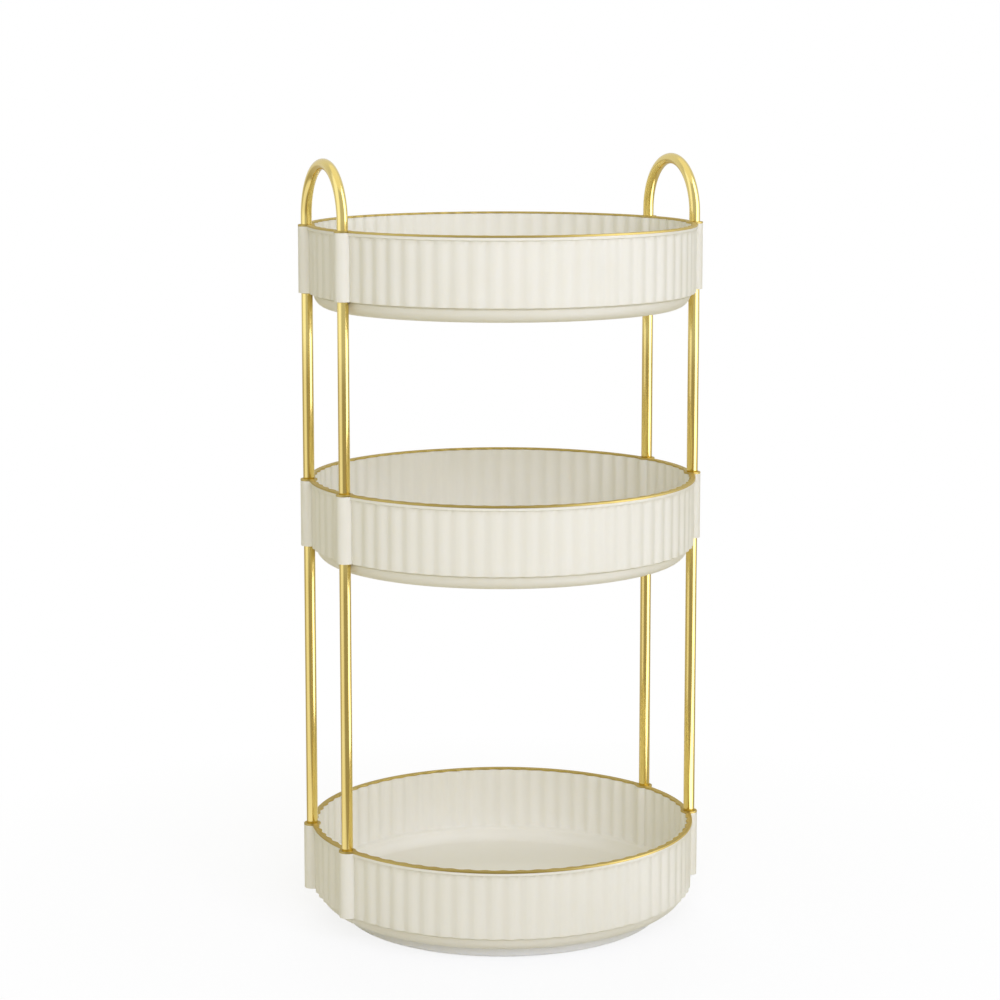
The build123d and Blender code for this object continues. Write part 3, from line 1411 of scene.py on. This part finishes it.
@dataclass
class Studio:
    """Camera, lamps, reflector tent, floor and surroundings.

    Attributes:
        azimuth: the camera's direction from the front, in degrees.
        pitch: how far the camera looks down, in degrees.
        distance: from the camera to the point on the axis that it aims at, in millimetres.
        aim: height of that point.
        focal: focal length in pixels of the image.
        off_centre: where that point lies from the image's middle, in pixels right and down.
        ambient: colour and brightness of the light that the surroundings give.
        lamps: the softboxes.
        lamp_aim: height of the point that they are aimed at, in metres.
        tent_section: radius and height of the reflector tent's corners, in metres.
        tent_columns: points round the tent.
        tent_low: how bright the tent is between its panels, low down.
        tent_high: how bright it is between them higher up.
        tent_rise: the heights in metres between which it turns from one to the other.
        panels: the tent's panels.
        floor_radius: radius of the floor in metres.
        floor_height: its height in metres, a hair under the pads.
        floor_columns: points round it.
        floor_tones: its two colours as seen.
        haze: size of the blotches of the second, in millimetres.
        bounce: its colours to the rays that only light the object, close to the base and farther.
        bounce_reach: the distances from the axis in metres between which the one turns into the
            other.
        lift: how white the floor is made as seen, close to the base, and how much more far off.
        lift_reach: the distances between which this grows.
    """

    azimuth: float = -22.70
    pitch: float = 8.12
    distance: float = 1601.2
    aim: float = 282.45
    focal: float = 2739.5
    off_centre: Pair = (2.09, -59.5)
    ambient: Colour = (0.505, 0.483, 0.335)
    lamps: tuple[Softbox, ...] = (
        Softbox("key_softbox", 15, 27, 2.4, (2.5, 1.7), 37.5, (0.925, 0.98, 1.32)),
        Softbox("back_softbox", 184, 24, 2.8, (1.5, 1.6), 38, (0.94, 0.975, 1.1)),
    )
    lamp_aim: float = 0.22
    tent_section: tuple[Pair, ...] = ((0.15, 0.0004), (0.7, 0.0004), (0.7, 1.4))
    tent_columns: int = 180
    tent_low: Colour = (0.38, 0.35, 0.30)
    tent_high: Colour = (0.6, 0.62, 0.7)
    tent_rise: Pair = (0.27, 0.38)
    panels: tuple[Panel, ...] = (
        Panel(-63, 17, 18, 0.64, (0.93, 1.0, 1.3)),
        Panel(68, 11, 18, 2.4, (0.95, 1.0, 1.25)),
        Panel(180, 55, 35, 0.18),
    )
    floor_radius: float = 9.0
    floor_height: float = -0.0001
    floor_columns: int = 64
    floor_tones: tuple[Colour, Colour] = ((0.92, 0.92, 0.92), (0.91, 0.91, 0.91))
    haze: float = 900.0
    bounce: tuple[Colour, Colour] = ((0.88, 0.85, 0.76), (0.8, 0.772, 0.675))
    bounce_reach: Pair = (0.115, 0.17)
    lift: Pair = (0.82, 0.18)
    lift_reach: Pair = (0.12, 0.42)

    @staticmethod
    def direction(azimuth: float, elevation: float) -> Vector:
        """The direction from the object to an azimuth from the front and an elevation."""
        a, e = math.radians(azimuth), math.radians(elevation)
        return Vector((math.sin(a) * math.cos(e), -math.cos(a) * math.cos(e), math.sin(e)))

    @staticmethod
    def hang(thing: bpy.types.Object, place: Vector, away: Vector) -> None:
        """Puts a camera or lamp in its place, looking against the direction that it stands in."""
        thing.location = place
        thing.rotation_euler = (-away).to_track_quat("-Z", "Y").to_euler()

    @staticmethod
    def scenery(
        name: str, points: Array, faces: list[list[int]], material: bpy.types.Material
    ) -> bpy.types.Object:
        """An object that isn't part of the organizer.

        Args:
            name: its name.
            points: its corners in metres.
            faces: the corner numbers of each face.
            material: its material.

        Returns:
            The object.
        """
        mesh = bpy.data.meshes.new(name)
        mesh.from_pydata(points.reshape(-1, 3).tolist(), [], faces)
        mesh.materials.append(material)
        return link(name, mesh)

    @staticmethod
    def seen(tree: Tree) -> Signal:
        """Where the thing is seen: by the camera, in a reflection or through something clear.

        Args:
            tree: the tree that asks.

        Returns:
            1 on such rays and 0 on the rest.
        """
        path = tree.node("ShaderNodeLightPath").outputs
        kinds = ("Is Camera Ray", "Is Glossy Ray", "Is Transmission Ray")
        camera, glossy, clear = [Signal(tree, path[kind]) for kind in kinds]
        return camera.math("MAXIMUM", glossy).math("MAXIMUM", clear)

    def camera(self) -> None:
        """Makes the camera at the photograph's place."""
        data = bpy.data.cameras.new("camera")
        data.sensor_fit, data.sensor_width = "HORIZONTAL", SENSOR
        data.lens = self.focal * SENSOR / IMAGE
        data.shift_x, data.shift_y = -self.off_centre[0] / IMAGE, self.off_centre[1] / IMAGE
        data.clip_start, data.clip_end = 0.05, 100.0
        camera = link("camera", data)
        back = self.direction(self.azimuth, self.pitch)
        self.hang(camera, Vector((0, 0, self.aim * MM)) + back * self.distance * MM, back)
        bpy.context.scene.camera = camera

    def light(self) -> None:
        """Hangs the lamps."""
        for lamp in self.lamps:
            data = bpy.data.lights.new(lamp.name, "AREA")
            data.shape, data.size, data.size_y = "RECTANGLE", *lamp.size
            data.energy, data.color = lamp.power, lamp.colour
            item = link(lamp.name, data)
            towards = self.direction(self.azimuth + lamp.azimuth, lamp.elevation)
            self.hang(item, Vector((0, 0, self.lamp_aim)) + towards * lamp.distance, towards)
            item.visible_glossy = False

    def tent(self) -> None:
        """A round apron and wall of dim and bright panels about the object, for reflections alone.

        A panel's share at a point grows evenly with the cosine of the angle between the point's
        direction and the panel's, from its outer edge to its inner one.
        """
        tree = Tree(bpy.data.materials.new("reflector_panels"))
        x, y, height = tree.axes()
        nearness = (x * x + y * y) ** -0.5
        colour = tree.blend(height.between(*self.tent_rise), self.tent_low, self.tent_high)
        for panel in self.panels:
            towards = self.direction(self.azimuth + panel.azimuth, 0)
            facing = (x * towards.x + y * towards.y) * nearness
            outer = math.cos(math.radians(panel.half_width + panel.edge))
            share = facing.between(outer, math.cos(math.radians(panel.half_width)))
            light = tuple(panel.strength * part for part in panel.colour)
            colour = tree.blend(share, colour, light, "ADD")
        glow = tree.node("ShaderNodeEmission", None, {"Color": colour, "Strength": 1.0})
        radius, level = np.array(self.tent_section).T[:, :, None]
        points = ringed(radius, level, circle(self.tent_columns))
        squares = ring_squares(len(radius), self.tent_columns)[:-1].reshape(-1, 4)
        faces = squares[:, [0, 3, 2, 1]].tolist()
        wall = self.scenery("reflector_tent", points, faces, tree.end(glow))
        for ray in ("camera", "diffuse", "transmission", "shadow", "volume_scatter"):
            setattr(wall, f"visible_{ray}", False)

    def surroundings(self) -> None:
        """White where they are seen, and a dimmer warm light where they only light."""
        world = bpy.data.worlds.new("studio_surroundings")
        bpy.context.scene.world = world
        tree = Tree(world)
        colour = tree.blend(self.seen(tree), self.ambient, WHITE)
        sky = tree.node("ShaderNodeBackground", None, {"Color": colour, "Strength": 1.0})
        tree.end(sky, "World")

    def floor(self) -> None:
        """A wide pale disc that keeps a soft shadow and is otherwise white to the camera.

        To the rays that only light the object it has the warm colours of bounce.
        """
        tree = Tree(bpy.data.materials.new("pale_floor"))
        haze = tree.noise(self.haze, 2.0).between(0.2, 0.8)
        x, y, _ = tree.axes()
        reach = (x * x + y * y) ** 0.5
        bounce = tree.blend(reach.between(*self.bounce_reach), *self.bounce)
        pale = tree.blend(self.seen(tree), bounce, tree.blend(haze, *self.floor_tones))
        matt = tree.node("ShaderNodeBsdfDiffuse", None, {"Color": pale, "Roughness": 0.5})
        glow = tree.node("ShaderNodeEmission", None, {"Color": WHITE, "Strength": 1.0})
        near, more = self.lift
        white = self.seen(tree) * (near + reach.between(*self.lift_reach) * more)
        inputs = {"Fac": white, 1: matt.outputs[0], 2: glow.outputs[0]}
        material = tree.end(tree.node("ShaderNodeMixShader", None, inputs))
        rim = ringed(self.floor_radius, self.floor_height, circle(self.floor_columns))
        floor = self.scenery("studio_floor", rim, [list(range(self.floor_columns))], material)

    def build(self) -> None:
        """Sets the studio up."""
        self.camera()
        self.light()
        self.tent()
        self.surroundings()
        self.floor()
        bpy.context.scene.view_settings.view_transform = "Standard"
        log.info("studio: %d lamps", len(self.lamps))


# ------------------------------------------------------------------ the whole organizer


@dataclass
class Organizer:
    """The whole object, as its sub-assemblies in order."""

    layout: Layout = field(default_factory=Layout)

    def build(self, finishes: Finishes) -> None:
        """Builds the base, the trays with their trims, and the metalwork.

        Args:
            finishes: the materials.
        """
        Turntable().build(finishes)
        plan = FlutedRim(self.layout)
        for tier, rim in zip(TIERS, self.layout.rims):
            Tray(tier, rim, plan).build(finishes)
            Trim(tier, rim, plan).build(finishes)
        for metalwork in (Tubes, Handles, TieRods):
            metalwork(self.layout).build(finishes)


def main() -> None:
    """Builds the studio and the organizer."""
    logging.basicConfig(level=logging.INFO, format="%(name)s: %(message)s")
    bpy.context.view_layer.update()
    Studio().build()
    finishes = Finishes()
    finishes.build()
    Organizer().build(finishes)


if __name__ == "__main__":
    main()
